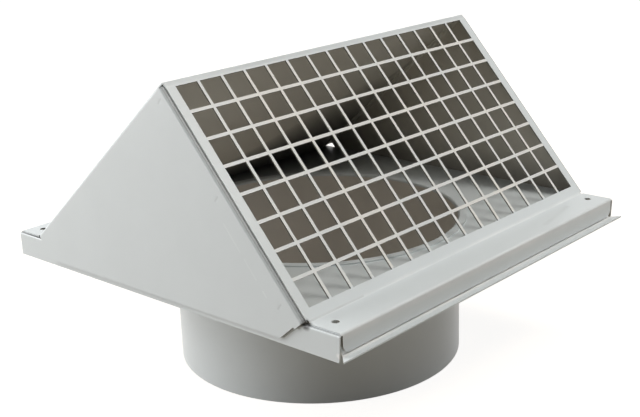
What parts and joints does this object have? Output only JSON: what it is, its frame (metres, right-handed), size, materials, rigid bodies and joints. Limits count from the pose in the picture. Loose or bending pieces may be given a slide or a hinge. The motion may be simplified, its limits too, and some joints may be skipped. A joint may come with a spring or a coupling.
{
  "type": "wall vent hood",
  "caption": "White coated sheet-steel wall vent hood: gabled hood with a punched square grille on its front slope, side panels, a base pan with a front lip, and a round duct collar.",
  "frame": {"origin": "on the axis of the duct collar, in the plane of the collar's lower rim", "axes": "+Z from the collar's rim up to the ridge, +X along the ridge, -Y the way the grille faces"},
  "size_m": [0.2292, 0.2221, 0.1638],
  "materials": {
    "white_coated_steel": "coil-coated, satin"
  },
  "bodies": {
    "root": {"hood_shell": "white_coated_steel", "side_panel_left": "white_coated_steel", "side_panel_right": "white_coated_steel", "base_pan": "white_coated_steel", "duct_collar": "white_coated_steel"}
  },
  "joints": []
}
